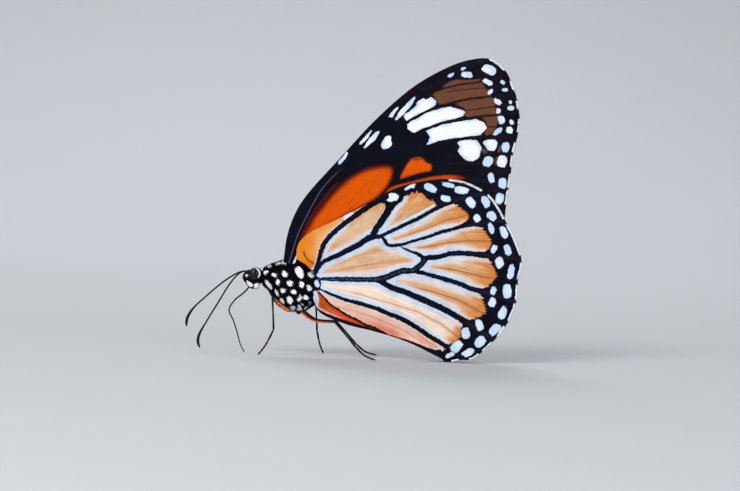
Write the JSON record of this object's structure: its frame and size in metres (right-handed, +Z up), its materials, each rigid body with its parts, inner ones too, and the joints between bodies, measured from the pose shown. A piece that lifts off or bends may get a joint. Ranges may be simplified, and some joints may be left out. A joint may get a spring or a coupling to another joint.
{
  "type": "common tiger butterfly",
  "caption": "Life-size still model of an orange, black and white butterfly standing with its wings closed over its back, feelers forward and tongue down.",
  "frame": {"origin": "centre of the model's box, at the level of the floor it stands on", "axes": "+X towards the tail end, +Y towards the insect's right side, +Z up"},
  "size_m": [0.0484, 0.0112, 0.044],
  "materials": {
    "body_scales": "matt black scales with white spots",
    "eye_facets": "finely faceted gloss black",
    "forewing_membrane": "matt orange scales with black veins and edges and white patches",
    "hindwing_membrane": "matt peach scales with white-edged black veins and a white-spotted black edge",
    "limb_cuticle": "satin black"
  },
  "bodies": {
    "root": {"head": "body_scales", "eye_left": "eye_facets", "eye_right": "eye_facets", "palp_left": "body_scales", "palp_right": "body_scales", "proboscis": "limb_cuticle", "antenna_left": "limb_cuticle", "antenna_right": "limb_cuticle", "prothorax": "body_scales", "thorax": "body_scales", "abdomen": "body_scales", "forewing_left": "forewing_membrane", "forewing_right": "forewing_membrane", "hindwing_left": "hindwing_membrane", "hindwing_right": "hindwing_membrane", "foreleg_left": "body_scales", "foreleg_right": "body_scales", "midleg_left_femur": "limb_cuticle", "midleg_left_tibia": "limb_cuticle", "midleg_left_tarsus": "limb_cuticle", "midleg_right_femur": "limb_cuticle", "midleg_right_tibia": "limb_cuticle", "midleg_right_tarsus": "limb_cuticle", "hindleg_left_femur": "limb_cuticle", "hindleg_left_tibia": "limb_cuticle", "hindleg_left_tarsus": "limb_cuticle", "hindleg_right_femur": "limb_cuticle", "hindleg_right_tibia": "limb_cuticle", "hindleg_right_tarsus": "limb_cuticle"}
  },
  "joints": []
}
